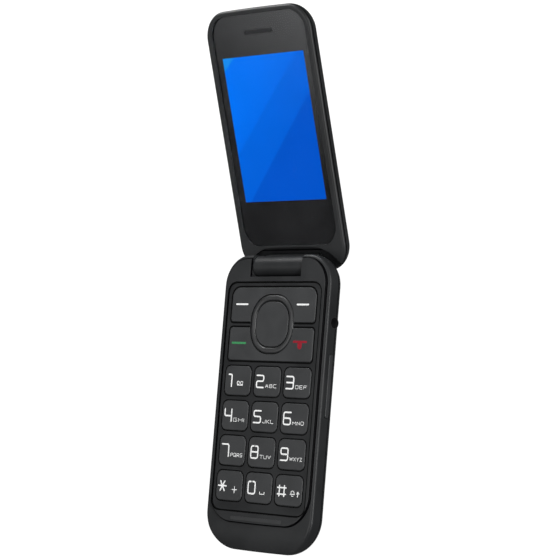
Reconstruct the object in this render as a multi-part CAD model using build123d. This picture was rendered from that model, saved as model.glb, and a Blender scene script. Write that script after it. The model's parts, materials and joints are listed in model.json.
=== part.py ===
from build123d import *
from math import sqrt
import os

# The screen, and the borders of the base beside it, set how wide the phone is
screen_width = 36.72
screen_height = 48.96
screen_border = 5.64

# Base: it lies on its flat back, centred on it, with the hinge end towards +Y
base_length = 98.4
base_height = 9.6
base_wall = 1.2
back_round = 6.1
corner_low = 12.5
corner_high = 10.2
end_bow = 0.4
shoulder_drop = 0.8
shoulder_inset = 1.1
shoulder_round = 1.0
deck_edge_round = 0.7
deck_thickness = 1.45
parting_height = 4.4
seam = 0.1

# Chin: the sloping end that stays in view when the lid is shut
chin_length = 8.8
chin_fall = 1.9
step_corner = 11.0

# Hinge: a barrel on the lid turns in a slot between two ears of the base
axis_end_inset = 3.7
axis_depth = 4.28
barrel_radius = 3.6
barrel_half = 11.3
slot_side_gap = 0.2
slot_wall_gap = 0.3
ear_wall = 1.5
open_angle = 160.0
running_gap = 0.05
fixed_gap = 0.02
neck_low = 2.6
neck_high = 3.0

# Hinge cartridge on the right, hollow bush for the flexible circuit on the left
can_radius = 2.6
can_wall = 0.4
can_length = 10.8
spindle_radius = 1.1
spindle_neck_radius = 1.6
spindle_key = 2.6
spindle_grip = 3.4
cam_length = 2.2
cam_rise = 0.6
spring_wire = 0.5
spring_turns = 5
bush_radius = 2.2
bush_bore = 1.6
bush_length = 7.6
flex_thickness = 0.2
flex_width = 5.0
flex_coil = 1.2

# Lid
lid_side_inset = 0.4
lid_thickness = 6.0
lid_gap = 0.2
lid_heel = 3.1
lid_corner = 9.2
lid_wall = 1.0
lid_outer_round = 5.2
lid_rim_round = 0.95
lid_front_depth = 1.1
lid_web = 0.85
arch_radius = 15.0
arch_reach = 5.55
cove_wall = 1.2

# Display, seen through a window that is sunk a little below the rim
window_rim = 2.4
window_from_axis = 6.05
window_end_rim = 1.9
window_corner = 7.0
window_thickness = 0.8
window_sink = 0.1
screen_rise = 0.675
screen_margin = 0.7
glass_border = (1.94, 3.92)
glass_thickness = 1.1
backlight_rim = (0.7, 1.2)
backlight_thickness = 1.0
display_shift = 2.0
earpiece_from_end = 7.9
earpiece_slot = (12.1, 1.3)
earpiece_size = (12.0, 6.0, 2.0)
mesh_thickness = 0.3
lid_board_side = 4.0
lid_board_tail = 1.4
lid_board_end = 0.6
lid_board_thickness = 0.6
camera_from_axis = 10.0
camera_size = 6.2
camera_lens_radius = 2.8
magnet_size = (4.0, 2.0, 1.0)
magnet_x = 12.0
lid_screw_inset = (4.6, 4.4)
lid_screw_head = 0.45
lid_screw_bite = 2.3

# Keypad panel, sunk into the deck
panel_side_inset = 2.8
panel_bridge = 1.73
panel_strip = 3.8
panel_corner = 3.6
panel_thickness = 0.75
panel_sink = 0.3
panel_gap = 0.15
panel_ledge = 1.0

# Number keys
key_margin = 1.83
key_web_x = 1.67
key_web_y = 1.87
key_corner = 2.0
key_edge_round = 0.3
key_sink = 0.05
key_gap = 0.15
key_flange = 0.45
flange_thickness = 0.35
first_row_drop = 33.17
last_row_rise = 8.3
key_travel = 0.25

# Navigation cluster: two rocker plates, a ring and the key inside it
cluster_margin = 2.2
cluster_drop = 1.87
cluster_corner = 3.2
plate_corner = 1.2
soft_plate_length = 11.6
cluster_split = 1.8
call_plate_length = 11.1
plate_sink = 0.1
ring_width = 19.1
ring_length = 19.6
ring_corner = 8.3
ring_band = 2.1
ring_round = 0.8
ring_drop = 14.1
ring_gap = 0.2
ok_sink = 0.15

# Rubber strip that the shut lid lands on
bumper_width = 23.1
bumper_length = 1.2
bumper_inset = 1.7
bumper_proud = 0.12
bumper_seat = 0.6

# Side walls: volume rocker, headset socket and charging socket
side_key_length = 20.7
side_key_height = 1.7
side_key_from_end = 43.0
side_key_drop = 3.8
side_key_proud = 0.35
side_key_gap = 0.15
side_key_flange = 0.5
side_key_travel = 0.3
socket_from_end = 22.4
jack_drop = 4.4
jack_bore = 1.75
jack_depth = 12.0
jack_nose = 2.0
jack_body = (12.0, 6.0, 3.9)
usb_size = (5.4, 7.6, 2.5)
usb_wall = 0.3

# Boards and what they carry
board_thickness = 0.8
board_gap = 0.4
board_chin = 3.4
dome_film = 0.08
dome_radius = 2.0
dome_height = 0.1
mat_gap = 0.02
mat_thickness = 0.4
mat_inset = 1.9
key_rest_gap = 0.1
shield_height = 1.6
shield_sizes = ((8.0, 16.0), (15.0, 10.0))
motor_radius = 4.0
motor_height = 2.0
motor_inset = 10.0
speaker_size = (15.0, 8.0, 2.3)
speaker_headroom = 0.2
microphone_radius = 1.3
microphone_height = 1.1
antenna_inset = 11.0
antenna_length = 3.4
antenna_thickness = 0.5
switch_size = (1.2, 3.0, 1.4)

# Battery and the tray that holds it
battery_inset = 7.0
battery_bay_end = 8.0
battery_lift = 0.1
battery_gap = 0.3
tray_thickness = 0.7
step_from_end = 38.2
step_clearance = 2.0
cover_end_inset = 8.9
sim_width = 15.0
sim_length = 18.0
sim_gap = 0.6
contact_pitch = 3.0
contact_size = (1.2, 1.2)
contact_foot = 1.0
post_radius = 1.3
screw_radius = 0.6
screw_head_radius = 1.1
screw_head_height = 0.7
chin_screw_inset = (4.6, 9.6)
ear_screw_inset = (5.4, 7.2)
grille_slot = (1.0, 5.0)
grille_pitch = 2.2
grille_count = 5

# Places that follow from the sizes above
base_width = screen_width + 2 * screen_border
half_width = base_width / 2
half_length = base_length / 2
far = base_width + base_length
axis_y = half_length - axis_end_inset
axis_z = base_height - axis_depth
shoulder = base_height - shoulder_drop
deck_under = base_height - deck_thickness
step_y = -half_length + chin_length
slot_half = barrel_half + slot_side_gap
slot_y = axis_y - barrel_radius - slot_wall_gap
boss_radius = can_radius + running_gap
boss_end = slot_half + spindle_grip + ear_wall
cover_y = half_length - cover_end_inset
panel_under = base_height - panel_sink - panel_thickness
panel_width = base_width - 2 * panel_side_inset
panel_high_y = slot_y - panel_bridge
panel_low_y = step_y + panel_strip
panel_length = panel_high_y - panel_low_y
panel_y = (panel_high_y + panel_low_y) / 2
key_pitch_x = (panel_width - 2 * key_margin + key_web_x) / 3
first_row_y = panel_high_y - first_row_drop
key_pitch_y = (first_row_y - panel_low_y - last_row_rise) / 3
key_width = key_pitch_x - key_web_x
key_length = key_pitch_y - key_web_y
key_floor = panel_under - running_gap - flange_thickness
cluster_width = panel_width - 2 * cluster_margin
cluster_high_y = panel_high_y - cluster_drop
soft_low_y = cluster_high_y - soft_plate_length
call_high_y = soft_low_y - cluster_split
call_low_y = call_high_y - call_plate_length
ring_y = panel_high_y - ring_drop
mat_under = key_floor - key_travel - key_rest_gap - mat_thickness
board_top = mat_under - mat_gap - dome_height - dome_film
board_under = board_top - board_thickness
board_end_y = slot_y - ear_wall - board_gap
board_low_y = step_y - board_chin
tray_top = board_under - seam
tray_low = board_under - speaker_headroom - speaker_size[2] - tray_thickness
tray_step_y = half_length - step_from_end
parts_y = tray_step_y + step_clearance
socket_y = half_length - socket_from_end
jack_z = base_height - jack_drop
jack_mouth = half_width - seam
side_key_y = half_length - side_key_from_end
side_key_z = base_height - side_key_drop
side_key_back = half_width - base_wall - 4 * side_key_gap
switch_face = side_key_back - side_key_flange - side_key_travel
battery_low_y = -half_length + battery_bay_end
battery_high_y = tray_step_y - tray_thickness - battery_gap - contact_size[0]
battery_y = (battery_low_y + battery_high_y) / 2
battery_size = (base_width - 2 * battery_inset, battery_high_y - battery_low_y,
                tray_top - tray_thickness - base_wall - 2 * battery_lift)
antenna_half = half_width - antenna_inset
microphone_place = (antenna_half + microphone_radius + board_gap, board_low_y + microphone_radius - seam)
speaker_y = cover_y - base_wall - speaker_size[1] / 2 - seam
contact_z = base_wall + battery_lift + battery_size[2] / 2
contact_half = contact_pitch + contact_size[0] / 2 + seam
base_screws = ((half_width - chin_screw_inset[0], -half_length + chin_screw_inset[1]),
               (half_width - ear_screw_inset[0], half_length - ear_screw_inset[1]))
lid_half = half_width - lid_side_inset
lid_reach = axis_y - step_y
inner_face = -(axis_depth + lid_gap)
outer_face = inner_face - lid_thickness
lid_parting = inner_face - lid_front_depth
window_floor = inner_face - window_sink - window_thickness
web_under = window_floor - lid_web
lid_screw_seat = window_floor - lid_screw_head - seam
cove_radius = sqrt(arch_reach ** 2 + inner_face ** 2)
window_length = lid_reach - window_end_rim - window_from_axis
window_y = window_from_axis + window_length / 2
screen_y = window_y + screen_rise
panel_glass = (screen_width + 2 * glass_border[0], screen_height + 2 * glass_border[1], glass_thickness)
backlight_size = (panel_glass[0] + 2 * backlight_rim[0], panel_glass[1] + 2 * backlight_rim[1],
                  backlight_thickness)
module_y = screen_y - display_shift
lid_board_size = (backlight_size[0] - 2 * lid_board_side, backlight_size[1] + lid_board_tail - lid_board_end,
                  lid_board_thickness)
lid_board_y = module_y - (lid_board_tail + lid_board_end) / 2
earpiece_y = lid_reach - earpiece_from_end
open_tilt = 180 - open_angle
can_end = barrel_half - slot_side_gap
can_start = can_end - can_length


def outline(half, y_low, y_high, r_low, r_high, bow=end_bow):
    """Long outline with straight sides, gently bowed ends and its own corner radius at each end."""
    face = make_face([
        ThreePointArc((-half, y_low + bow), (0, y_low), (half, y_low + bow)),
        Line((half, y_low + bow), (half, y_high - bow)),
        ThreePointArc((half, y_high - bow), (0, y_high), (-half, y_high - bow)),
        Line((-half, y_high - bow), (-half, y_low + bow)),
    ])
    low_corners = face.vertices().sort_by(Axis.Y)[:2]
    face = fillet(low_corners, r_low)
    return fillet(face.vertices().sort_by(Axis.Y)[-2:], r_high)


def slab(face, z_low, z_high):
    """A flat outline made solid between two heights."""
    return extrude(Pos(0, 0, z_low) * face, z_high - z_low)


def between(x_low, x_high, y_low, y_high, z_low, z_high):
    """Block given by its six faces."""
    centre = ((x_low + x_high) / 2, (y_low + y_high) / 2, (z_low + z_high) / 2)
    return Pos(*centre) * Box(x_high - x_low, y_high - y_low, z_high - z_low)


def layer(z_low, z_high):
    """All space between two heights."""
    return between(-far, far, -far, far, z_low, z_high)


def rod(radius, x_low, x_high, y=0.0, z=0.0):
    """Cylinder that lies along X."""
    return Pos((x_low + x_high) / 2, y, z) * Rot(Y=90) * Cylinder(radius, x_high - x_low)


def both_sides(shape):
    """The shape and its mirror image across the middle plane."""
    return [shape, mirror(shape, Plane.YZ)]


def join(solids):
    """Separate solids kept together as one group."""
    return Compound(children=[solid for part in solids for solid in part.solids()])


def base_outline(inset):
    """Outline of the base, drawn in by inset."""
    return outline(half_width - inset, -half_length + inset, half_length - inset,
                   corner_low - inset, corner_high - inset)


def base_body():
    """Outer form of the base: rounded back, shoulder, sloping chin and the deck standing above them."""
    body = slab(base_outline(0), 0, shoulder)
    body = fillet(body.edges().group_by(Axis.Z)[0], back_round)
    body -= above_chin(shoulder)
    rim = [edge for edge in body.edges() if edge.center().Z > shoulder - chin_fall - seam
           and not is_crease(edge)]
    body = fillet(rim, shoulder_round)
    deck = slab(outline(half_width - shoulder_inset, step_y, half_length - shoulder_inset,
                        step_corner, corner_high - shoulder_inset), parting_height, base_height)
    return body + fillet(deck.edges().group_by(Axis.Z)[-1], deck_edge_round)


def above_chin(z_high):
    """Space above the chin, whose slope starts level at the given height."""
    slope = TangentArc((step_y, z_high), (-half_length, z_high - chin_fall), tangent=(-1, 0))
    above = Polyline((-half_length, z_high - chin_fall), (-half_length - 1, z_high - chin_fall),
                     (-half_length - 1, far), (step_y, far), (step_y, z_high))
    return extrude(Plane.YZ * make_face([slope, above]), far, both=True)


def is_crease(edge):
    """Whether an edge is the level line where the chin begins to fall."""
    middle = edge.center()
    return abs(middle.X) < 1 and abs(middle.Y - step_y) < 1


def base_room(inset):
    """Room inside the walls of the base, up to the undersides of the deck and the chin."""
    room = slab(base_outline(inset), inset, deck_under)
    room = fillet(room.edges().group_by(Axis.Z)[0], back_round - inset)
    return room - above_chin(shoulder - inset)


def hinge_slot():
    """Open slot in the hinge end of the base, where the barrel of the lid turns."""
    return between(-slot_half, slot_half, slot_y, far, -1, far)


def slot_walls():
    """Cheeks and end wall round the hinge slot."""
    reach = slot_half + ear_wall
    return between(-reach, reach, slot_y - ear_wall, half_length, 0, base_height)


def jack_block(gap):
    """Body of the headset socket, grown by a gap."""
    x_high = half_width - base_wall - seam
    width, height = jack_body[1] / 2 + gap, jack_body[2] / 2 + gap
    return between(x_high - jack_body[0] - gap, x_high, socket_y - width, socket_y + width,
                   jack_z - height, jack_z + height)


def side_openings():
    """Holes in the side walls for the headset plug, the volume rocker and the charging plug."""
    jack = rod(jack_nose + running_gap, half_width - 4, half_width + 1, socket_y, jack_z)
    rocker = side_key_prism(side_key_gap, half_width - 4, half_width + 1)
    width = usb_size[1] / 2 + seam
    plug = between(-half_width - 1, -half_width + 4, socket_y - width, socket_y + width,
                   board_under - usb_size[2] - seam, board_under + seam)
    return [jack, rocker, plug]


def side_key_prism(grow, x_low, x_high):
    """Round-ended bar of the volume rocker, grown all round, between two X planes."""
    height = side_key_height + 2 * grow
    bar = RectangleRounded(height, side_key_length + 2 * grow, height * 0.49)
    return extrude(Pos(x_low, side_key_y, side_key_z) * Rot(Y=90) * bar, x_high - x_low)


def side_key_bay(x_low):
    """Space kept free behind the volume rocker, from the given X plane outwards."""
    reach = side_key_length / 2 + 2 * side_key_flange
    return between(x_low, far, side_key_y - reach, side_key_y + reach, 0, far)


def screw_bores(z_low, z_high):
    """Bores for the four screws that close the base."""
    bores = []
    for x, y in base_screws:
        bore = Pos(x, y, (z_low + z_high) / 2) * Cylinder(screw_radius + fixed_gap, z_high - z_low)
        bores += both_sides(bore)
    return bores


def seat_z(y):
    """Height of the tray floor that a post or screw stands on."""
    return tray_top if y < tray_step_y else tray_low + tray_thickness


def base_front_housing(body, room):
    """Upper moulding of the base: deck, side walls, ears and screw posts."""
    shell = (body - room) + (slot_walls() & body)
    shell = shell & layer(parting_height, far)
    for boss in both_sides(rod(boss_radius, slot_half, boss_end, axis_y, axis_z)):
        shell += boss
    for x, y in base_screws:
        post = Pos(x, y, (seat_z(y) + deck_under) / 2) * Cylinder(post_radius, deck_under - seat_z(y))
        for side in both_sides(post):
            shell += side
    seat = RectangleRounded(panel_width + 2 * panel_gap, panel_length + 2 * panel_gap, panel_corner + panel_gap)
    hole = RectangleRounded(panel_width - 2 * panel_ledge, panel_length - 2 * panel_ledge,
                            panel_corner - panel_ledge)
    shell -= slab(Pos(0, panel_y) * seat, panel_under, far)
    shell -= slab(Pos(0, panel_y) * hole, key_floor - key_travel - seam, far)
    shell -= bumper_block(far)
    shell -= hinge_slot()
    shell -= rod(bush_radius + fixed_gap, -slot_half - spindle_grip, 0, axis_y, axis_z)
    shell -= rod(spindle_neck_radius + running_gap, 0, slot_half + seam, axis_y, axis_z)
    shell -= spindle_bar(spindle_key + 2 * fixed_gap, 0, slot_half + spindle_grip)
    for opening in side_openings() + screw_bores(0, deck_under + seam):
        shell -= opening
    return shell


def bumper_block(z_high):
    """Strip let into the deck just above the chin, up to the given height."""
    bar = Pos(0, step_y + bumper_inset) * RectangleRounded(bumper_width, bumper_length, bumper_length * 0.4)
    return slab(bar, base_height - bumper_seat, z_high)


def base_rear_housing(body, room):
    """Inner tray: battery floor, step with the contacts, lower floor behind it, and the backs of the ears."""
    step_face = tray_step_y - tray_thickness
    tray = between(-far, far, -far, tray_step_y, tray_top - tray_thickness, tray_top)
    tray += between(-far, far, step_face, tray_step_y, tray_low, tray_top)
    tray += between(-far, far, step_face, cover_y + base_wall, tray_low, tray_low + tray_thickness)
    rail_x = battery_size[0] / 2 + battery_gap
    rail = between(rail_x, rail_x + tray_thickness, battery_y - battery_size[1] / 2, step_face, tray_low, tray_top)
    for side in both_sides(rail):
        tray += side
    tray = tray & base_room(base_wall + seam)
    ears = (body - room) + (slot_walls() & body)
    ears += between(-far, far, cover_y, far, tray_low, tray_low + tray_thickness) & room
    shell = tray + (ears & between(-far, far, cover_y, far, 0, parting_height - seam))
    shell -= hinge_slot()
    for boss in both_sides(rod(boss_radius + seam, 0, boss_end + seam, axis_y, axis_z)):
        shell -= boss
    shell -= jack_block(seam)
    shell -= side_key_bay(switch_face - switch_size[0] - seam)
    shell -= Pos(*microphone_place, board_under) * Cylinder(microphone_radius + seam, 3 * microphone_height)
    x, y = base_screws[1]
    access = slab(Pos(x, y) * Circle(screw_head_radius + 2 * seam), -1, tray_low)
    for hole in both_sides(access):
        shell -= hole
    shell -= between(-contact_half, contact_half, step_face - 1, tray_step_y + 1,
                     contact_z - contact_size[1], contact_z + contact_size[1])
    for bore in screw_bores(0, far):
        shell -= bore
    return shell - grille(tray_low - 1, tray_low + 2)


def battery_cover(body, room):
    """Snap-on back: the rounded shell below the parting line, with slots for the loudspeaker."""
    shell = (body - room) & between(-far, far, -far, cover_y - seam, -1, parting_height - seam)
    for opening in side_openings():
        shell -= opening
    return shell - grille(-1, base_wall + 1)


def grille(z_low, z_high):
    """Row of slots below the loudspeaker."""
    slot = RectangleRounded(*grille_slot, grille_slot[0] * 0.45)
    first = -(grille_count - 1) / 2 * grille_pitch
    return [slab(Pos(first + i * grille_pitch, speaker_y) * slot, z_low, z_high) for i in range(grille_count)]


def battery():
    """Flat lithium-ion pack with rounded long edges."""
    pack = Pos(0, battery_y, contact_z) * Box(*battery_size)
    return fillet(pack.edges().filter_by(Axis.Y), battery_size[2] / 5)


def battery_contacts():
    """Three spring blades that reach from the board, through the step, to the end of the battery."""
    y_low = battery_y + battery_size[1] / 2
    blades = []
    for place in (-contact_pitch, 0, contact_pitch):
        half = contact_size[0] / 2
        blade = between(place - half, place + half, y_low, tray_step_y + contact_foot,
                        contact_z - contact_size[1] / 2, contact_z + contact_size[1] / 2)
        riser = between(place - half, place + half, tray_step_y + contact_foot / 2, tray_step_y + contact_foot,
                        contact_z, board_under)
        blades.append(blade + riser)
    return join(blades)


def main_board():
    """Circuit board under the keypad, with clearance round the screw posts and the headset socket."""
    board = slab(base_outline(base_wall + board_gap), board_under, board_top)
    board = board & between(-far, far, board_low_y, board_end_y, 0, far)
    board -= jack_block(seam)
    board -= side_key_bay(switch_face)
    for x, y in base_screws:
        for hole in both_sides(Pos(x, y, board_top) * Cylinder(post_radius + seam, board_thickness * 4)):
            board -= hole
    return board


def key_sheet(z_low, z_high):
    """Rounded sheet that lies under all the keys."""
    sheet = RectangleRounded(panel_width - 2 * mat_inset, panel_length - 2 * mat_inset, panel_corner)
    return slab(Pos(0, panel_y) * sheet, z_low, z_high)


def key_places():
    """Name and middle of each number key, row by row."""
    names = ("key_1", "key_2", "key_3", "key_4", "key_5", "key_6",
             "key_7", "key_8", "key_9", "key_star", "key_0", "key_hash")
    return [(name, (i % 3 - 1) * key_pitch_x, first_row_y - (i // 3) * key_pitch_y)
            for i, name in enumerate(names)]


def dome_places():
    """Middle of every snap dome: number keys, rocker ends, four ring points and the middle key."""
    side = (cluster_width + ring_width) / 4
    reach = (ring_length - ring_band) / 2
    places = [(x, y) for name, x, y in key_places()]
    places += [(sign * side, (y_low + y_high) / 2) for sign in (-1, 1)
               for y_low, y_high in ((soft_low_y, cluster_high_y), (call_low_y, call_high_y))]
    places += [(0, ring_y), (0, ring_y + reach), (0, ring_y - reach)]
    return places + [(-reach + ring_band / 4, ring_y), (reach - ring_band / 4, ring_y)]


def dome_sheet():
    """Film with a raised metal dome under each key."""
    sheet = key_sheet(board_top, board_top + dome_film)
    for x, y in dome_places():
        sheet += Pos(x, y, board_top + dome_film) * Cylinder(
            dome_radius, dome_height, align=(Align.CENTER, Align.CENTER, Align.MIN))
    return sheet


def keypad_panel():
    """Thin plate with one opening for each number key and one for the cluster."""
    plate = RectangleRounded(panel_width, panel_length, panel_corner)
    panel = slab(Pos(0, panel_y) * plate, panel_under, base_height - panel_sink)
    key_hole = RectangleRounded(key_width + 2 * key_gap, key_length + 2 * key_gap, key_corner + key_gap)
    for name, x, y in key_places():
        panel -= slab(Pos(x, y) * key_hole, 0, far)
    panel -= slab(cluster_plate(soft_low_y, cluster_high_y, cluster_corner, plate_corner, key_gap), 0, far)
    panel -= slab(cluster_plate(call_low_y, call_high_y, plate_corner, plate_corner, key_gap), 0, far)
    return panel - slab(ring_outline(ring_gap), 0, far)


def cluster_plate(y_low, y_high, r_high, r_low, grow):
    """Outline of one rocker plate before the ring is cut out of it."""
    half = cluster_width / 2 + grow
    return outline(half, y_low - grow, y_high + grow, r_low + grow, r_high + grow, seam / 2)


def ring_outline(grow):
    """Rounded-square outline of the navigation ring."""
    return Pos(0, ring_y) * RectangleRounded(ring_width + 2 * grow, ring_length + 2 * grow, ring_corner + grow)


def number_key(x, y):
    """Key cap with softened edges and a flange that holds it under the panel."""
    cap = RectangleRounded(key_width, key_length, key_corner)
    foot = RectangleRounded(key_width + 2 * key_flange, key_length + 2 * key_flange, key_corner + key_flange)
    key = slab(Pos(x, y) * cap, key_floor, base_height - key_sink)
    key = fillet(key.edges().group_by(Axis.Z)[-1], key_edge_round)
    return key + slab(Pos(x, y) * foot, key_floor, key_floor + flange_thickness)


def rocker_plate(y_low, y_high, r_high, r_low):
    """Plate that rocks left and right round the ring, with no flange because the sheet below carries it."""
    plate = slab(cluster_plate(y_low, y_high, r_high, r_low, 0), key_floor, base_height - plate_sink)
    plate = fillet(plate.edges().group_by(Axis.Z)[-1], key_edge_round)
    return plate - slab(ring_outline(ring_gap), 0, far)


def nav_ring():
    """Glossy ring with a rounded top."""
    ring = slab(ring_outline(0), key_floor, base_height) - slab(ring_outline(-ring_band), 0, far)
    return fillet(ring.edges().group_by(Axis.Z)[-1], ring_round)


def ok_key():
    """Flat key inside the ring."""
    key = slab(ring_outline(-ring_band - ring_gap), key_floor, base_height - ok_sink)
    return fillet(key.edges().group_by(Axis.Z)[-1], key_edge_round)


def side_key():
    """Volume rocker with a flange behind the wall."""
    bar = side_key_prism(0, side_key_back - side_key_flange, half_width + side_key_proud)
    bar = fillet(bar.edges().group_by(Axis.X)[-1], side_key_proud * 0.8)
    return bar + side_key_prism(side_key_flange, side_key_back - side_key_flange, side_key_back)


def side_switches():
    """Two small switches behind the ends of the volume rocker, hung from the board."""
    reach = side_key_length / 2 - switch_size[1]
    return join([between(switch_face - switch_size[0], switch_face, side_key_y + sign * reach - switch_size[1] / 2,
                         side_key_y + sign * reach + switch_size[1] / 2, board_under - switch_size[2], board_under)
                 for sign in (-1, 1)])


def headset_jack():
    """Socket block with a round nose and a blind bore for the plug."""
    block = jack_block(0) & base_room(base_wall + seam)
    block += rod(jack_nose, half_width - base_wall - 1, jack_mouth, socket_y, jack_z)
    return block - rod(jack_bore, jack_mouth - jack_depth, half_width, socket_y, jack_z)


def usb_socket():
    """Charging socket: a thin metal shell with a contact tongue."""
    x_low = -half_width + seam * 3
    half = usb_size[1] / 2
    shell = between(x_low, x_low + usb_size[0], socket_y - half, socket_y + half,
                    board_under - usb_size[2], board_under)
    shell -= between(-far, x_low + usb_size[0] - usb_wall, socket_y - half + usb_wall, socket_y + half - usb_wall,
                     board_under - usb_size[2] + usb_wall, board_under - usb_wall)
    tongue = between(x_low + usb_wall * 3, x_low + usb_size[0], socket_y - half / 2, socket_y + half / 2,
                     board_under - 3 * usb_wall, board_under - usb_wall)
    return shell + tongue


def shield_cans():
    """Two tin covers soldered under the board."""
    cans = []
    x = -shield_sizes[0][0]
    for width, length in shield_sizes:
        can = between(x, x + width, parts_y, parts_y + length, board_under - shield_height, board_under)
        can -= between(x + usb_wall, x + width - usb_wall, parts_y + usb_wall, parts_y + length - usb_wall,
                       board_under - shield_height + usb_wall, board_under)
        cans.append(can)
        x += width + 2 * seam
    return join(cans)


def vibration_motor():
    """Coin motor glued under the board."""
    place = Pos(-half_width + motor_inset, parts_y + motor_radius, board_under - motor_height / 2)
    return place * Cylinder(motor_radius, motor_height)


def loudspeaker():
    """Loudspeaker that lies on the tray, over the slots."""
    width, length, height = speaker_size
    box = Pos(0, speaker_y, tray_low + tray_thickness + height / 2) * Box(width, length, height)
    return fillet(box.edges().filter_by(Axis.Z), length / 5)


def microphone():
    """Round microphone under the board, beside the antenna."""
    place = Pos(*microphone_place, board_under - microphone_height / 2)
    return place * Cylinder(microphone_radius, microphone_height)


def antenna():
    """Flat antenna on the tray, under the chin."""
    y_high = battery_low_y - battery_gap
    z_high = tray_top - tray_thickness
    return between(-antenna_half, antenna_half, y_high - antenna_length, y_high, z_high - antenna_thickness, z_high)


def sim_holder():
    """Card holder under the lower floor of the tray, behind the battery."""
    half = sim_width / 2
    floor = base_wall + sim_gap
    frame = between(-half, half, parts_y, parts_y + sim_length, floor, tray_low)
    return frame - between(-half + 1, half - 1, parts_y - 1, parts_y + sim_length - 1,
                           floor + usb_wall, tray_low - usb_wall)


def screw(length, head_height):
    """Small screw, head down, standing on the plane of its seat."""
    shank = Cylinder(screw_radius, length, align=(Align.CENTER, Align.CENTER, Align.MIN))
    head = Cylinder(screw_head_radius, head_height, align=(Align.CENTER, Align.CENTER, Align.MAX))
    return fillet(head.edges().group_by(Axis.Z)[0], head_height / 3) + shank


def base_screws_group():
    """Four screws that hold the tray to the front housing."""
    screws = []
    for x, y in base_screws:
        seat = seat_z(y) - tray_thickness
        screws += both_sides(Pos(x, y, seat) * screw(deck_under - seat - seam, screw_head_height))
    return join(screws)


def spindle_bar(side, x_low, x_high):
    """Square bar on the hinge axis."""
    return between(x_low, x_high, axis_y - side / 2, axis_y + side / 2, axis_z - side / 2, axis_z + side / 2)


def cam_face(x, direction, radius):
    """Two opposite lobes on the end of a cam, for the snap of the lid."""
    lobe = between(0, cam_rise, -radius, radius, -radius / 2, radius / 2)
    lobe = chamfer(lobe.edges().filter_by(Axis.Y).group_by(Axis.X)[-1], cam_rise * 0.8)
    lobe = lobe & rod(radius, 0, cam_rise)
    return Pos(x, 0, 0) * (lobe if direction > 0 else mirror(lobe, Plane.YZ))


def hinge_spindle():
    """Spindle of the cartridge: shaft, cam head and the square end that the right ear holds."""
    bore = can_radius - can_wall
    head_end = can_end - seam
    head_start = head_end - cam_length + cam_rise
    shaft = rod(spindle_radius, can_start + can_wall + seam, head_end)
    shaft += rod(bore - running_gap, head_start, head_end)
    shaft += cam_face(head_start, -1, bore - running_gap)
    shaft += rod(spindle_neck_radius, head_end, slot_half + seam)
    return Pos(0, axis_y, axis_z) * shaft + spindle_bar(spindle_key, slot_half, slot_half + spindle_grip)


def hinge_bush():
    """Hollow bush held by the left ear; the barrel turns on it and the flexible circuit runs through it."""
    x_low = -slot_half - spindle_grip
    tube = rod(bush_radius, x_low, x_low + bush_length, axis_y, axis_z)
    return tube - rod(bush_bore, -far, far, axis_y, axis_z)


def lid_outline(inset):
    """Outline of the lid, drawn in by inset; Y runs from the hinge axis to the free end."""
    return outline(lid_half - inset, -lid_heel + inset, lid_reach - inset, lid_corner - inset, lid_corner - inset)


def lid_body():
    """Outer form of the lid, inner face up: rounded outside, softly rounded rim inside."""
    body = slab(lid_outline(0), outer_face, inner_face)
    body = fillet(body.edges().group_by(Axis.Z)[0], lid_outer_round)
    return fillet(body.edges().group_by(Axis.Z)[-1], lid_rim_round)


def lid_room(inset):
    """Room inside the lid walls."""
    room = slab(lid_outline(inset), outer_face + inset, inner_face)
    return fillet(room.edges().group_by(Axis.Z)[0], lid_outer_round - inset)


def cove(grow):
    """Round hollow across the hinge end of the lid that lets the ears of the base pass, arched in plan."""
    arch = outline(half_width + grow, -half_length, arch_reach + grow, 1, arch_radius + grow)
    return rod(cove_radius + grow, -far, far) & slab(arch, -far, 0)


def lid_screw_places():
    """Middle of the four screws under the corners of the window."""
    x = lid_half - lid_screw_inset[0]
    y_low = window_y - window_length / 2 + lid_screw_inset[1]
    y_high = window_y + window_length / 2 - lid_screw_inset[1]
    return [(sign * x, y) for y in (y_low, y_high) for sign in (-1, 1)]


def earpiece_hole(grow, z_low, z_high):
    """Long round-ended slot in front of the earpiece."""
    width, height = earpiece_slot[0] + 2 * grow, earpiece_slot[1] + 2 * grow
    return slab(Pos(0, earpiece_y) * RectangleRounded(width, height, height * 0.49), z_low, z_high)


def window_outline(grow):
    """Outline of the display window."""
    half = lid_half - window_rim + grow
    return Pos(0, window_y) * RectangleRounded(2 * half, window_length + 2 * grow, window_corner + grow)


def lid_front_housing(body):
    """Inner moulding of the lid: rim, seat of the window, hollow for the ears, and the hinge barrel."""
    shell = body & layer(lid_parting, far)
    shell += lid_room(lid_wall + seam) & layer(web_under, lid_parting)
    shell += cove(cove_wall) & body
    shell -= cove(0)
    shell += between(-barrel_half, barrel_half, -neck_low, neck_high, -cove_radius - cove_wall / 2, 0)
    shell += rod(barrel_radius, -barrel_half, barrel_half)
    shell -= slab(window_outline(running_gap), window_floor, 0)
    hole = Rectangle(screen_width + 2 * screen_margin, screen_height + 2 * screen_margin)
    shell -= slab(Pos(0, screen_y) * hole, -far, 0)
    shell -= earpiece_hole(0, web_under - 1, 0)
    shell -= rod(can_radius + fixed_gap, can_start - fixed_gap, far)
    shell -= rod(bush_radius + running_gap, -far, -slot_half - spindle_grip + bush_length + seam)
    shell -= rod(bush_bore, -barrel_half, 0)
    shell -= flex_channel()
    for x, y in lid_screw_places():
        shell -= Pos(x, y, window_floor) * Cylinder(screw_radius + fixed_gap, lid_thickness)
        shell -= slab(Pos(x, y) * Circle(screw_head_radius + fixed_gap), lid_screw_seat, window_floor)
    return shell


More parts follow.
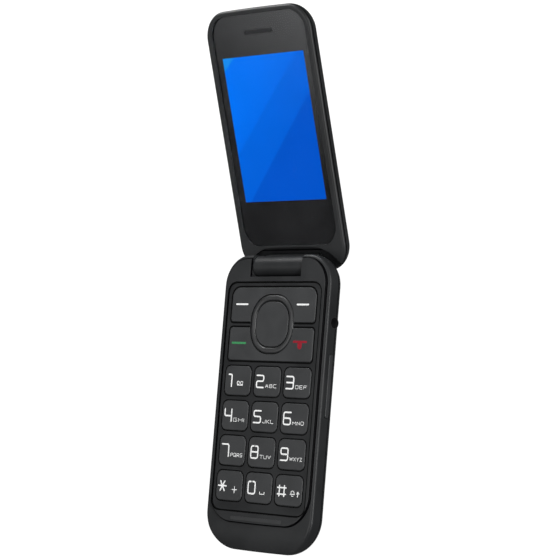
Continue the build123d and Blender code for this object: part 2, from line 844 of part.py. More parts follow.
def flex_channel():
    """Passage for the flexible circuit from the barrel through its neck."""
    x_high = -slot_half - spindle_grip + bush_length + flex_width + 4 * seam
    return between(x_high - flex_width - 2 * seam, x_high, -3 * flex_thickness, 3 * flex_thickness,
                   -cove_radius - cove_wall - seam, 0)


def lid_rear_cover(body):
    """Outer shell of the lid with four screw posts and the camera opening."""
    shell = (body & layer(-far, lid_parting - seam)) - lid_room(lid_wall)
    shell -= cove(cove_wall + seam)
    for x, y in lid_screw_places():
        post = between(x - post_radius, x + post_radius, y - post_radius, y + post_radius,
                       outer_face, web_under - seam)
        shell += post & body
        shell -= slab(Pos(x, y) * Circle(screw_radius + fixed_gap), web_under - lid_screw_bite - seam, web_under)
    return shell - slab(Pos(0, camera_from_axis) * Circle(camera_lens_radius + fixed_gap), -far, inner_face)


def lid_screws_group():
    """Four screws under the window that hold the two lid mouldings together."""
    length = lid_screw_seat - web_under + lid_screw_bite
    return join([Pos(x, y, lid_screw_seat) * Rot(X=180) * screw(length, lid_screw_head)
                 for x, y in lid_screw_places()])


def display_window():
    """Clear plate over the display, with the slot for the earpiece."""
    plate = slab(window_outline(0), window_floor, window_floor + window_thickness)
    return plate - earpiece_hole(0, -far, 0)


def stack(size, top, y):
    """Flat block under a given height of the lid."""
    width, length, height = size
    return Pos(0, y, top - height / 2) * Box(width, length, height)


def lid_stack():
    """Parts that lie in the lid, by name, from the display outwards."""
    glass_top = web_under - running_gap
    light_top = glass_top - panel_glass[2]
    board_face = light_top - backlight_size[2] - seam
    capsule = stack(earpiece_size, web_under, earpiece_y)
    camera = stack((camera_size, camera_size, web_under - outer_face - 2 * lid_wall), web_under, camera_from_axis)
    lens_low = outer_face - seam / 2
    lens = slab(Pos(0, camera_from_axis) * Circle(camera_lens_radius), lens_low, lens_low + lid_wall)
    magnet = Pos(-magnet_x, 0, 0) * stack(magnet_size, web_under, earpiece_y)
    return {
        "display_window": display_window(),
        "display_panel": stack(panel_glass, glass_top, module_y),
        "display_backlight": stack(backlight_size, light_top, module_y),
        "earpiece": fillet(capsule.edges().filter_by(Axis.Z), earpiece_size[1] / 3),
        "earpiece_mesh": earpiece_hole(-running_gap, window_floor, window_floor + mesh_thickness),
        "lid_board": stack(lid_board_size, board_face, lid_board_y),
        "camera_module": camera,
        "camera_lens": fillet(lens.edges().group_by(Axis.Z)[0], seam),
        "lid_magnet": magnet,
    }


def hinge_can():
    """Closed tube of the hinge cartridge, pressed into the right half of the barrel."""
    tube = rod(can_radius, can_start, can_end)
    return tube - rod(can_radius - can_wall, can_start + can_wall, far)


def hinge_cam():
    """Sliding cam that the spring presses on the spindle, drawn back to where the lobes ride past."""
    bore = can_radius - can_wall
    x_high = can_end - seam - cam_length - running_gap
    ring = rod(bore - fixed_gap, x_high - cam_length, x_high)
    ring -= rod(spindle_radius + running_gap, 0, far)
    notch = mirror(cam_face(0, 1, bore), Plane.YZ)
    return ring - Pos(x_high, 0, 0) * Rot(X=open_angle / 2) * notch


def hinge_spring():
    """Compression spring between the closed end of the can and the cam."""
    wire = spring_wire / 2
    x_low = can_start + can_wall + wire + running_gap
    x_high = can_end - 2 * seam - 2 * cam_length - running_gap - wire
    radius = can_radius - can_wall - wire - seam
    path = Helix((x_high - x_low) / spring_turns, x_high - x_low, radius)
    coil = sweep(Plane(path @ 0, z_dir=path % 0) * Circle(wire), path, is_frenet=True)
    return Pos(x_low, 0, 0) * Rot(Y=90) * coil


def hinge_flex():
    """Flexible circuit: rolled up in the bush, then flat through the neck to the lid board."""
    x_high = -slot_half - spindle_grip + bush_length + flex_width + 3 * seam
    x_low = x_high - flex_width
    roll = rod(flex_coil, -slot_half - spindle_grip, x_high) - rod(flex_coil - flex_thickness, -far, far)
    depth = -cove_radius - cove_wall - 2 * seam
    tail = between(x_low, x_high, -flex_thickness / 2, flex_thickness / 2, depth, -flex_coil + flex_thickness / 2)
    run = between(x_low, x_high, -flex_thickness / 2, lid_board_y - lid_board_size[1] / 2,
                  depth - flex_thickness, depth)
    return roll + tail + run


def in_lid(shape):
    """Place a part of the lid, drawn about the hinge axis, where the open lid holds it."""
    return Pos(0, axis_y, axis_z) * Rot(X=open_tilt) * shape


def build():
    """All pieces by name."""
    body = base_body()
    room = base_room(base_wall)
    lid = lid_body()
    mat = key_sheet(mat_under, mat_under + mat_thickness)
    pieces = {
        "base_front_housing": base_front_housing(body, room),
        "base_rear_housing": base_rear_housing(body, room),
        "battery_cover": battery_cover(body, room),
        "battery": battery(),
        "battery_contacts": battery_contacts(),
        "keypad_panel": keypad_panel(),
        "keypad_mat": mat,
        "dome_sheet": dome_sheet(),
        "main_board": main_board(),
        "shield_cans": shield_cans(),
        "headset_jack": headset_jack(),
        "usb_socket": usb_socket(),
        "sim_holder": sim_holder(),
        "side_switches": side_switches(),
        "loudspeaker": loudspeaker(),
        "microphone": microphone(),
        "vibration_motor": vibration_motor(),
        "antenna": antenna(),
        "bumper_strip": bumper_block(base_height + bumper_proud),
        "base_screws": base_screws_group(),
        "hinge_spindle": hinge_spindle(),
        "hinge_bush": hinge_bush(),
        "soft_key_plate": rocker_plate(soft_low_y, cluster_high_y, cluster_corner, plate_corner),
        "call_key_plate": rocker_plate(call_low_y, call_high_y, plate_corner, plate_corner),
        "nav_ring": nav_ring(),
        "ok_key": ok_key(),
        "side_key": side_key(),
    }
    for name, x, y in key_places():
        pieces[name] = number_key(x, y)
    lid_parts = lid_stack()
    lid_parts["lid_front_housing"] = lid_front_housing(lid)
    lid_parts["lid_rear_cover"] = lid_rear_cover(lid)
    lid_parts["lid_screws"] = lid_screws_group()
    lid_parts["hinge_can"] = hinge_can()
    lid_parts["hinge_cam"] = hinge_cam()
    lid_parts["hinge_spring"] = hinge_spring()
    lid_parts["hinge_flex"] = hinge_flex()
    for name, shape in lid_parts.items():
        pieces[name] = in_lid(shape)
    return pieces


os.makedirs("parts", exist_ok=True)
for node, piece in build().items():
    export_step(piece, f"parts/{node}.step")
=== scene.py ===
import json
from math import radians

import bmesh
import bpy
import numpy as np
from mathutils import Matrix, Vector


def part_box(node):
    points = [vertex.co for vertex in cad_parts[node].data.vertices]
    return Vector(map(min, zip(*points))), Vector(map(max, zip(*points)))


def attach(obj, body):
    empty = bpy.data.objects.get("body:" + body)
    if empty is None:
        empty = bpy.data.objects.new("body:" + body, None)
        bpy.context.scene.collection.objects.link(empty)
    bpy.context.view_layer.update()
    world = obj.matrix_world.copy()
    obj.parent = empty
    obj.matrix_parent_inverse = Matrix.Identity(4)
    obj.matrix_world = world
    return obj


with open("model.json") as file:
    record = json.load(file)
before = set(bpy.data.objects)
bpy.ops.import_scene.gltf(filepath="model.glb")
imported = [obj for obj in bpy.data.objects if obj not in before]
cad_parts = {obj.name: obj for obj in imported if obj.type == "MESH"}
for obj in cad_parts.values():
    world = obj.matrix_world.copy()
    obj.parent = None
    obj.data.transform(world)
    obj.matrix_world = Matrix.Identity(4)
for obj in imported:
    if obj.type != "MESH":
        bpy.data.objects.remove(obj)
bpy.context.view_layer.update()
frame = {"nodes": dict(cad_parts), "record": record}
nodes = frame["nodes"]
mm = 0.001

# Housings: both mouldings of the base, the battery cover, and both mouldings of the lid.
# ABS, injection moulded and sprayed with soft-touch lacquer: nearly black and satin, with a very fine grain.
# The deck's rounded edge and a band along each seam are painted near black with almost no shine: painted
# shade standing for the shadow in the gaps there.
housing_colors = ("#1c1d1e", "#232425")
housing_roughness = (0.38, 0.46)
lacquer_grain = 0.16 * mm
lacquer_depth = 0.004 * mm
handled_patch = 14 * mm
# Colour and shine of the painted shade on the deck's edge and along the seams.
painted_shade_color = "#040405"
lacquer_shine = 0.2
painted_shade_shine = 0.02
deck_edge_middle = 9.17 * mm
deck_edge_half = 0.36 * mm
deck_edge_steep = 0.9
deck_edge_level = 0.98
base_seam_middle = 4.35 * mm
lid_seam_middle = -5.58 * mm
seam_half = 0.2 * mm
open_tilt = radians(20)
hinge = next(joint for joint in frame["record"]["behaviour"]["joints"] if joint["name"] == "lid_hinge")
axis_y, axis_z = hinge["pos_m"][1], hinge["pos_m"][2]


def linear(code):
    """sRGB hex to linear light: c / 12.92 up to 0.04045, ((c + 0.055) / 1.055) to the power 2.4 above."""
    shares = np.array([int(code[i:i + 2], 16) for i in (1, 3, 5)]) / 255
    return (*np.where(shares <= 0.04045, shares / 12.92, ((shares + 0.055) / 1.055) ** 2.4), 1.0)


def add(tree, kind, settings, links=None):
    """One shader node. Settings fill its properties, or the sockets of that name or number, and links
    feed sockets."""
    node = tree.nodes.new(kind)
    for key, value in settings.items():
        if isinstance(key, str) and hasattr(node, key):
            setattr(node, key, value)
        else:
            node.inputs[key].default_value = value
    for key, source in (links or {}).items():
        tree.links.new(source, node.inputs[key])
    return node


def surface(name, **sockets):
    """Material with its node tree and Principled shader; sockets are set by name, with _ for a space."""
    material = bpy.data.materials.new(name)
    material.use_nodes = True
    shader = material.node_tree.nodes["Principled BSDF"]
    for key, value in sockets.items():
        shader.inputs[key.replace("_", " ")].default_value = value
    return material, material.node_tree, shader


def mottled(tree, shader, colors, roughness, patch):
    """Colour and roughness that wander together between two values, over soft patches of a given size:
    noise of three octaves, with its middle third stretched from nothing to one."""
    place = add(tree, "ShaderNodeTexCoord", {})
    cloud = add(tree, "ShaderNodeTexNoise", {"Scale": 1 / patch, "Detail": 3.0},
                {"Vector": place.outputs["Object"]})
    share = add(tree, "ShaderNodeMapRange", {"From Min": 0.35, "From Max": 0.65},
                {"Value": cloud.outputs["Fac"]})
    tone = add(tree, "ShaderNodeMix", {"data_type": "RGBA", 6: linear(colors[0]), 7: linear(colors[1])},
               {0: share.outputs["Result"]})
    gloss = add(tree, "ShaderNodeMapRange", {"To Min": roughness[0], "To Max": roughness[1]},
                {"Value": share.outputs["Result"]})
    tree.links.new(tone.outputs[2], shader.inputs["Base Color"])
    tree.links.new(gloss.outputs["Result"], shader.inputs["Roughness"])


def grained(tree, shader, grain, depth, stretch=(1.0, 1.0, 1.0)):
    """Bump of noise in two octaves, of the given grain and depth, drawn out along an axis by stretch."""
    place = add(tree, "ShaderNodeTexCoord", {})
    drawn = add(tree, "ShaderNodeMapping", {"Scale": [1 / share for share in stretch]},
                {"Vector": place.outputs["Object"]})
    speck = add(tree, "ShaderNodeTexNoise", {"Scale": 1 / grain, "Detail": 2.0},
                {"Vector": drawn.outputs["Vector"]})
    relief = add(tree, "ShaderNodeBump", {"Strength": 1.0, "Distance": depth},
                 {"Height": speck.outputs["Fac"]})
    tree.links.new(relief.outputs["Normal"], shader.inputs["Normal"])


def dress(material, *names):
    """Gives a material to CAD nodes."""
    for name in names:
        if nodes[name].material_slots:
            for slot in nodes[name].material_slots:
                slot.material = material
        else:
            nodes[name].data.materials.append(material)


def level_band(tree, height, middle, half):
    """Share that is one within half of a middle height, and falls to nothing over a quarter of half."""
    away = add(tree, "ShaderNodeMath", {"operation": "SUBTRACT", 1: middle}, {0: height})
    reach = add(tree, "ShaderNodeMath", {"operation": "ABSOLUTE"}, {0: away.outputs["Value"]})
    fall = {"From Min": half, "From Max": 1.25 * half, "To Min": 1.0, "To Max": 0.0}
    return add(tree, "ShaderNodeMapRange", fall, {"Value": reach.outputs["Value"]}).outputs["Result"]


def darken_as_shade(tree, shader, share):
    """Painted shade where the share is one: the lacquer's colour and shine fade to near black and almost no
    shine.
    """
    lacquer = shader.inputs["Base Color"].links[0].from_socket
    tone = add(tree, "ShaderNodeMix", {"data_type": "RGBA", 7: linear(painted_shade_color)}, {0: share, 6: lacquer})
    tree.links.new(tone.outputs[2], shader.inputs["Base Color"])
    shine = add(tree, "ShaderNodeMapRange", {"To Min": lacquer_shine, "To Max": painted_shade_shine}, {"Value": share})
    tree.links.new(shine.outputs["Result"], shader.inputs["Specular IOR Level"])


def in_lid(x, along, out):
    """Points of the lid's own frame (across, along from the hinge axis, out of its inner face) in the model:
    turned about X by the opening tilt and moved to the axis."""
    y = axis_y + along * np.cos(open_tilt) - out * np.sin(open_tilt)
    z = axis_z + along * np.sin(open_tilt) + out * np.cos(open_tilt)
    return np.stack([x + 0 * y, y, z], -1)


def lid_mapping(tree, along, out, size):
    """Coordinates on the lid, from a point of its own frame, counted in the given sizes."""
    place = add(tree, "ShaderNodeTexCoord", {})
    middle = in_lid(np.array(0.0), np.array(along), np.array(out))
    return add(tree, "ShaderNodeMapping", {"vector_type": "TEXTURE", "Location": middle,
                                           "Rotation": (open_tilt, 0, 0), "Scale": size},
               {"Vector": place.outputs["Object"]})


base_abs, tree, shader = surface("lacquered_abs_of_the_base", IOR=1.5)
mottled(tree, shader, housing_colors, housing_roughness, handled_patch)
grained(tree, shader, lacquer_grain, lacquer_depth)
place = add(tree, "ShaderNodeTexCoord", {})
level = add(tree, "ShaderNodeSeparateXYZ", {}, {"Vector": place.outputs["Object"]}).outputs["Z"]
upright = add(tree, "ShaderNodeSeparateXYZ", {}, {"Vector": place.outputs["Normal"]}).outputs["Z"]
# Painted shade: the steep part of the deck's rounded edge and a band along the base's seam turn near black.
steep = add(tree, "ShaderNodeMapRange",
            {"From Min": deck_edge_steep, "From Max": deck_edge_level, "To Min": 1.0, "To Max": 0.0},
            {"Value": upright})
deck_edge = add(tree, "ShaderNodeMath", {"operation": "MULTIPLY"},
                {0: level_band(tree, level, deck_edge_middle, deck_edge_half), 1: steep.outputs["Result"]})
either = add(tree, "ShaderNodeMath", {"operation": "MAXIMUM"},
             {0: deck_edge.outputs["Value"], 1: level_band(tree, level, base_seam_middle, seam_half)})
darken_as_shade(tree, shader, either.outputs["Value"])
dress(base_abs, "base_front_housing", "base_rear_housing", "battery_cover")

lid_abs, tree, shader = surface("lacquered_abs_of_the_lid", IOR=1.5)
mottled(tree, shader, housing_colors, housing_roughness, handled_patch)
grained(tree, shader, lacquer_grain, lacquer_depth)
# Painted shade: a band along the seam between the lid's two mouldings turns near black.
spot = lid_mapping(tree, 0.0, lid_seam_middle, (1.0, 1.0, 1.0))
level = add(tree, "ShaderNodeSeparateXYZ", {}, {"Vector": spot.outputs["Vector"]}).outputs["Z"]
darken_as_shade(tree, shader, level_band(tree, level, 0.0, seam_half))
dress(lid_abs, "lid_front_housing", "lid_rear_cover")

# Circuit boards in the base and in the lid.
# Glass-epoxy laminate coated with green solder resist. The copper tracks show through as paler,
# squared lines about two thirds of a millimetre apart.
resist_green = "#12512f"
track_green = "#1d6b3f"
track_unit = 0.9 * mm
track_width = 0.048
track_length = 2.4
track_pitch = 0.7

resist_coated, tree, shader = surface("resist_coated_laminate", Roughness=0.34, IOR=1.52)
place = add(tree, "ShaderNodeTexCoord", {})
tracks = add(tree, "ShaderNodeTexBrick",
             {"Scale": 1 / track_unit, "Mortar Size": track_width, "Brick Width": track_length,
              "Row Height": track_pitch, "Color1": linear(resist_green), "Color2": linear(resist_green),
              "Mortar": linear(track_green)}, {"Vector": place.outputs["Object"]})
tree.links.new(tracks.outputs["Color"], shader.inputs["Base Color"])
grained(tree, shader, grain=0.3 * mm, depth=0.003 * mm)
dress(resist_coated, "main_board", "lid_board")

# Metal parts: screws, shield cans, sockets, card holder, and the can, cam, spring and spindle of the hinge.
# Low-carbon steel with a thin tin or zinc plating, stamped, turned or wound. It shows faint lines
# along the way it was drawn.
plated_steel, tree, shader = surface("plated_steel", Metallic=1.0, Base_Color=linear("#b4b6b8"))
mottled(tree, shader, colors=("#aeb0b3", "#c2c4c6"), roughness=(0.28, 0.4), patch=1.5 * mm)
grained(tree, shader, grain=0.12 * mm, depth=0.002 * mm, stretch=(6.0, 1.0, 1.0))
dress(plated_steel, "base_screws", "lid_screws", "hinge_spindle", "hinge_can", "hinge_cam", "hinge_spring",
      "shield_cans", "usb_socket", "sim_holder")

# Magnet of the lid and coin motor.
# Nickel plated, so brighter and warmer than the plated steel, with hardly any grain.
nickel_plate, tree, shader = surface("nickel_plate", Metallic=1.0)
mottled(tree, shader, colors=("#b9b2a6", "#c9c2b6"), roughness=(0.14, 0.22), patch=2.0 * mm)
dress(nickel_plate, "lid_magnet", "vibration_motor")

# Battery contacts and antenna.
# Beryllium copper and stamped brass with a flash of gold, bent from strip.
gold_flash, tree, shader = surface("gold_flash", Metallic=1.0)
mottled(tree, shader, colors=("#c79a45", "#dcb568"), roughness=(0.2, 0.32), patch=1.0 * mm)
dress(gold_flash, "battery_contacts", "antenna")

# Dome sheet and the flexible circuit of the hinge.
# Polyimide film, amber and glossy, with the flow lines of the cast film along it.
polyimide, tree, shader = surface("polyimide_film", IOR=1.7)
mottled(tree, shader, colors=("#9a5c17", "#b8752a"), roughness=(0.22, 0.34), patch=3.0 * mm)
grained(tree, shader, grain=0.4 * mm, depth=0.002 * mm, stretch=(1.0, 8.0, 1.0))
dress(polyimide, "dome_sheet", "hinge_flex")

# Battery.
# Aluminium pouch in a shrunk PVC sleeve: dull grey, with slight wrinkles across the sleeve.
sleeve_pvc, tree, shader = surface("battery_sleeve", IOR=1.53)
mottled(tree, shader, colors=("#3c3d40", "#46474a"), roughness=(0.45, 0.55), patch=6.0 * mm)
grained(tree, shader, grain=1.2 * mm, depth=0.02 * mm, stretch=(5.0, 1.0, 1.0))
dress(sleeve_pvc, "battery")

# Black inner mouldings: headset socket, switches, loudspeaker, earpiece, camera body, microphone, hinge bush.
# Glass-filled nylon, moulded, dull, with a coarser grain than the housings.
filled_nylon, tree, shader = surface("glass_filled_nylon", IOR=1.53)
mottled(tree, shader, colors=("#0f0f10", "#19191a"), roughness=(0.5, 0.62), patch=2.0 * mm)
grained(tree, shader, grain=0.2 * mm, depth=0.008 * mm)
dress(filled_nylon, "headset_jack", "side_switches", "loudspeaker", "earpiece", "camera_module", "microphone",
      "hinge_bush")

# Key mat below the keys, and the bumper strip above the chin that the shut lid lands on.
# Silicone rubber, moulded: the dullest black on the phone.
silicone, tree, shader = surface("silicone_rubber", IOR=1.42)
mottled(tree, shader, colors=("#1e1f20", "#252627"), roughness=(0.5, 0.6), patch=4.0 * mm)
grained(tree, shader, grain=0.15 * mm, depth=0.006 * mm)
dress(silicone, "keypad_mat", "bumper_strip")

# Keypad panel that frames the keys.
# Thin polycarbonate plate, moulded and painted a dark satin grey, a little smoother than the housings.
panel_paint, tree, shader = surface("painted_polycarbonate", IOR=1.5, Specular_IOR_Level=0.2)
mottled(tree, shader, colors=("#191a1b", "#1f2021"), roughness=(0.34, 0.42), patch=10.0 * mm)
grained(tree, shader, grain=0.14 * mm, depth=0.003 * mm)
dress(panel_paint, "keypad_panel")

# Keys: twelve number keys, the two rocker plates, the key inside the ring and the volume rocker.
# Polycarbonate caps with a matte spray that scatters light evenly, so they look paler than the panel.
number_names = [f"key_{digit}" for digit in range(10)] + ["key_star", "key_hash"]

key_spray, tree, shader = surface("matte_sprayed_caps", IOR=1.5, Specular_IOR_Level=0.25)
mottled(tree, shader, colors=("#2a2b2c", "#2f3031"), roughness=(0.42, 0.5), patch=9.0 * mm)
grained(tree, shader, grain=0.18 * mm, depth=0.005 * mm)
dress(key_spray, *number_names, "soft_key_plate", "call_key_plate", "ok_key", "side_key")

# Navigation ring.
# Moulded ABS under satin lacquer, a little glossier than the keys: dark, with soft lights on its rounded top.
satin_black, tree, shader = surface("satin_black_lacquer", IOR=1.5)
mottled(tree, shader, colors=("#18191a", "#1d1e1f"), roughness=(0.42, 0.48), patch=5.0 * mm)
dress(satin_black, "nav_ring")

# Legends on the number keys.
# Pad-printed ink, two hundredths of a millimetre proud. Every glyph is a set of strokes with rounded
# ends and corners. Digits stand on the left of a key, its letters or sign at the lower right.
ink_height = 0.02 * mm
ink_sink = 0.01 * mm
ink_step = 0.001 * mm
digit_box = (-4.62, -1.5, -1.98, 1.98)
digit_stroke = 0.5
digit_bend = 0.75
word_low = -0.6
word_high = 4.45
long_word_high = 4.95
letter_low = -1.95
letter_high = -0.87
letter_stroke = 0.16
letter_bend = 0.3
letter_gap = 0.42
corner_steps = 6
cap_steps = 5
blunt_end = 0.48 * np.pi

# Each stroke is a list of points in a box one wide and one high
digit_strokes = {
    "0": [[(0.5, 1), (0, 1), (0, 0), (1, 0), (1, 1), (0.5, 1)]],
    "1": [[(0.16, 1), (0.62, 1), (0.62, 0)]],
    "2": [[(0, 1), (1, 1), (1, 0.52), (0, 0.52), (0, 0), (1, 0)]],
    "3": [[(0, 1), (1, 1), (1, 0), (0, 0)], [(0.05, 0.5), (1, 0.5)]],
    "4": [[(0, 1), (0, 0.45), (0.9, 0.45)], [(1, 1), (1, 0)]],
    "5": [[(1, 1), (0, 1), (0, 0.52), (1, 0.52), (1, 0), (0, 0)]],
    "6": [[(1, 1), (0, 1), (0, 0), (1, 0), (1, 0.52), (0.1, 0.52)]],
    "7": [[(0, 1), (1, 1), (1, 0)]],
    "8": [[(0.5, 1), (0, 1), (0, 0), (1, 0), (1, 1), (0.5, 1)], [(0.1, 0.52), (0.9, 0.52)]],
    "9": [[(0, 0), (1, 0), (1, 1), (0, 1), (0, 0.5), (0.9, 0.5)]],
}
letter_strokes = {
    "A": [[(0, 0), (0.5, 1), (1, 0)], [(0.24, 0.34), (0.76, 0.34)]],
    "B": [[(0.9, 0.54), (0.9, 1), (0, 1), (0, 0), (1, 0), (1, 0.54), (0.1, 0.54)]],
    "C": [[(1, 1), (0, 1), (0, 0), (1, 0)]],
    "D": [[(0, 0.2), (0, 1), (1, 1), (1, 0), (0, 0), (0, 0.25)]],
    "E": [[(1, 1), (0, 1), (0, 0), (1, 0)], [(0.1, 0.5), (0.85, 0.5)]],
    "F": [[(1, 1), (0, 1), (0, 0)], [(0.1, 0.5), (0.85, 0.5)]],
    "G": [[(1, 1), (0, 1), (0, 0), (1, 0), (1, 0.48), (0.6, 0.48)]],
    "H": [[(0, 0), (0, 1)], [(1, 0), (1, 1)], [(0.1, 0.5), (0.9, 0.5)]],
    "I": [[(0, 0), (0, 1)]],
    "J": [[(1, 1), (1, 0), (0, 0), (0, 0.3)]],
    "K": [[(0, 0), (0, 1)], [(0.95, 1), (0.15, 0.5), (1, 0)]],
    "L": [[(0, 1), (0, 0), (1, 0)]],
    "M": [[(0, 0), (0, 1), (0.5, 0.3), (1, 1), (1, 0)]],
    "N": [[(0, 0), (0, 1), (1, 0), (1, 1)]],
    "O": [[(0.5, 1), (0, 1), (0, 0), (1, 0), (1, 1), (0.5, 1)]],
    "P": [[(0, 0), (0, 1), (1, 1), (1, 0.42), (0.1, 0.42)]],
    "Q": [[(0.5, 1), (0, 1), (0, 0), (1, 0), (1, 1), (0.5, 1)], [(0.62, 0.3), (1.06, -0.1)]],
    "R": [[(0, 0), (0, 1), (1, 1), (1, 0.42), (0.1, 0.42)], [(0.5, 0.36), (1, 0)]],
    "S": [[(1, 1), (0, 1), (0, 0.52), (1, 0.52), (1, 0), (0, 0)]],
    "T": [[(0, 1), (1, 1)], [(0.5, 0.9), (0.5, 0)]],
    "U": [[(0, 1), (0, 0), (1, 0), (1, 1)]],
    "V": [[(0, 1), (0.5, 0), (1, 1)]],
    "W": [[(0, 1), (0.22, 0), (0.5, 0.85), (0.78, 0), (1, 1)]],
    "X": [[(0, 0), (1, 1)], [(0, 1), (1, 0)]],
    "Y": [[(0, 1), (0.5, 0.5), (1, 1)], [(0.5, 0.42), (0.5, 0)]],
    "Z": [[(0, 1), (1, 1), (0, 0), (1, 0)]],
}
letter_widths = {"I": 0.02, "M": 1.2, "W": 1.25}


def bent_path(points, radius):
    """Polyline with each corner p drawn as the curve (1-t)^2 (p-a) + 2t(1-t) p + t^2 (p+b), where a and b
    run along its two legs for the radius, or for 0.49 of a shorter leg. The radius is one number, or one
    for each corner."""
    points = np.array(points, float)
    legs = np.diff(points, axis=0)
    reach = np.linalg.norm(legs, axis=1)
    cut = np.minimum(radius, 0.49 * np.minimum(reach[:-1], reach[1:]))[:, None, None]
    before = (legs[:-1] / reach[:-1, None])[:, None, :] * cut
    after = (legs[1:] / reach[1:, None])[:, None, :] * cut
    t = np.linspace(0, 1, corner_steps)[None, :, None]
    middle = points[1:-1, None, :]
    bends = (1 - t) ** 2 * (middle - before) + 2 * t * (1 - t) * middle + t ** 2 * (middle + after)
    return np.vstack([points[:1], bends.reshape(-1, 2), points[-1:]])


def ink_stroke(points, width, radius, floor, height):
    """Band of ink along a bent path: each cross-section is a flat box as wide as the stroke, and beyond both
    ends it narrows as the cosine while it moves on by the sine, which rounds the ends."""
    path = bent_path(points, radius)
    legs = np.diff(path, axis=0)
    along = np.vstack([legs[:1], legs[:-1] + legs[1:], legs[-1:]])
    along /= np.linalg.norm(along, axis=1)[:, None]
    angle = np.linspace(blunt_end, 0, cap_steps, endpoint=False)
    half = width / 2
    start = path[0] - along[0] * half * np.sin(angle)[:, None]
    end = path[-1] + along[-1] * half * np.sin(angle[::-1])[:, None]
    spine = np.vstack([start, path, end])
    heading = np.vstack([np.repeat(along[:1], cap_steps, 0), along, np.repeat(along[-1:], cap_steps, 0)])
    reach = np.concatenate([half * np.cos(angle), np.full(len(path), half), half * np.cos(angle[::-1])])
    side = np.stack([-heading[:, 1], heading[:, 0]], 1) * reach[:, None]
    flat = np.stack([spine + side, spine + side, spine - side, spine - side], 1)
    rise = np.broadcast_to(np.array([floor, height, height, floor])[None, :, None], (len(spine), 4, 1))
    index = np.arange(len(spine) * 4).reshape(-1, 4)
    around = np.roll(index, -1, axis=1)
    walls = np.stack([index[:-1], around[:-1], around[1:], index[1:]], -1).reshape(-1, 4)
    return np.concatenate([flat, rise], 2).reshape(-1, 3), np.vstack([walls, index[:1, ::-1], index[-1:]])


def fitted(name, data, shell, material, body):
    """Object at the origin from a mesh and the shell that was edited from it: the shell goes back into the
    mesh with its faces turned outwards, and the object gets its material and rides on a body."""
    bmesh.ops.recalc_face_normals(shell, faces=shell.faces)
    shell.to_mesh(data)
    shell.free()
    data.materials.clear()
    data.materials.append(material)
    piece = bpy.data.objects.new(name, data)
    bpy.context.scene.collection.objects.link(piece)
    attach(piece, body)


def printed(name, strokes, offset, material, body):
    """One object from ink strokes in millimetres, laid at offset in metres, riding on a body."""
    starts = np.cumsum([0] + [len(stroke[0]) for stroke in strokes])
    points = np.vstack([stroke[0] for stroke in strokes]) * mm + np.array(offset)
    faces = np.vstack([stroke[1] + start for stroke, start in zip(strokes, starts)])
    data = bpy.data.meshes.new(name)
    data.from_pydata(points.tolist(), [], faces.tolist())
    shell = bmesh.new()
    shell.from_mesh(data)
    fitted(name, data, shell, material, body)


def free_strokes(lines, widths, radius=0.1):
    """Strokes given by their own points in millimetres, all of one width or each of its own. Each is a micron
    lower than the last, so that two which cross never share a face."""
    return [ink_stroke(line, width, radius, -ink_sink / mm, (ink_height - ink_step * i) / mm)
            for i, (line, width) in enumerate(zip(lines, np.broadcast_to(widths, len(lines))))]


def strokes_in(lines, box, width, radius):
    """Strokes of a glyph, from its own box one wide and one high to a box (low x, high x, low y, high y)."""
    low = np.array([box[0], box[2]])
    size = np.array([box[1] - box[0], box[3] - box[2]])
    return free_strokes([np.array(line) * size + low for line in lines], width, radius)


def word(text, x_low, x_high):
    """Small letters side by side, their widths scaled so that the word fills its length."""
    widths = np.array([letter_widths.get(letter, 1.0) for letter in text])
    scale = (x_high - x_low - letter_stroke) / (widths.sum() + letter_gap * (len(text) - 1))
    before = np.cumsum(widths) - widths + letter_gap * np.arange(len(text))
    starts = x_low + letter_stroke / 2 + scale * before
    strokes = []
    for letter, start, wide in zip(text, starts, widths):
        strokes += strokes_in(letter_strokes[letter], (start, start + wide * scale, letter_low, letter_high),
                              letter_stroke, letter_bend)
    return strokes


def ring_of(x, y, radius):
    """Closed loop of twelve points round a middle."""
    angle = np.linspace(0, 2 * np.pi, 13)
    return list(zip(x + radius * np.cos(angle), y + radius * np.sin(angle)))


white_ink, tree, shader = surface("white_pad_ink", IOR=1.48)
mottled(tree, shader, colors=("#d2d3d3", "#dfdfde"), roughness=(0.45, 0.6), patch=0.8 * mm)

messages_sign = free_strokes([ring_of(0.42, -0.78, 0.55), ring_of(1.98, -0.78, 0.55),
                              [(0.0, -1.52), (2.5, -1.52)]], widths=0.24)
star_sign = free_strokes([[(-4.85, -0.2), (-1.3, -0.2)], [(-4.0, 1.35), (-2.1, -1.75)],
                          [(-2.1, 1.35), (-4.0, -1.75)]], widths=0.5)
plus_sign = free_strokes([[(1.6, -1.2), (3.6, -1.2)], [(2.6, -0.2), (2.6, -2.2)]], widths=0.26)
space_sign = free_strokes([[(0.75, -1.2), (0.75, -1.88), (2.8, -1.88), (2.8, -1.2)]], widths=0.26)
hash_sign = free_strokes([[(-4.0, -1.9), (-4.0, 1.5)], [(-1.85, -1.9), (-1.85, 1.5)],
                          [(-4.75, 0.85), (-1.1, 0.85)], [(-4.75, -1.25), (-1.1, -1.25)]], widths=0.46)
silent_sign = free_strokes([[(1.1, -1.0), (1.35, -0.15), (1.9, 0.1), (2.45, -0.15), (2.7, -1.0)],
                            [(0.95, -1.05), (2.85, -1.05)],
                            [(1.5, -1.55), (1.9, -1.7), (2.3, -1.55)]], widths=0.24)
shift_sign = free_strokes([[(4.23, -0.5), (4.23, -1.7)],
                           [(3.7, -0.75), (4.23, -0.2), (4.76, -0.75), (3.8, -0.75)]],
                          widths=0.36, radius=0.02)

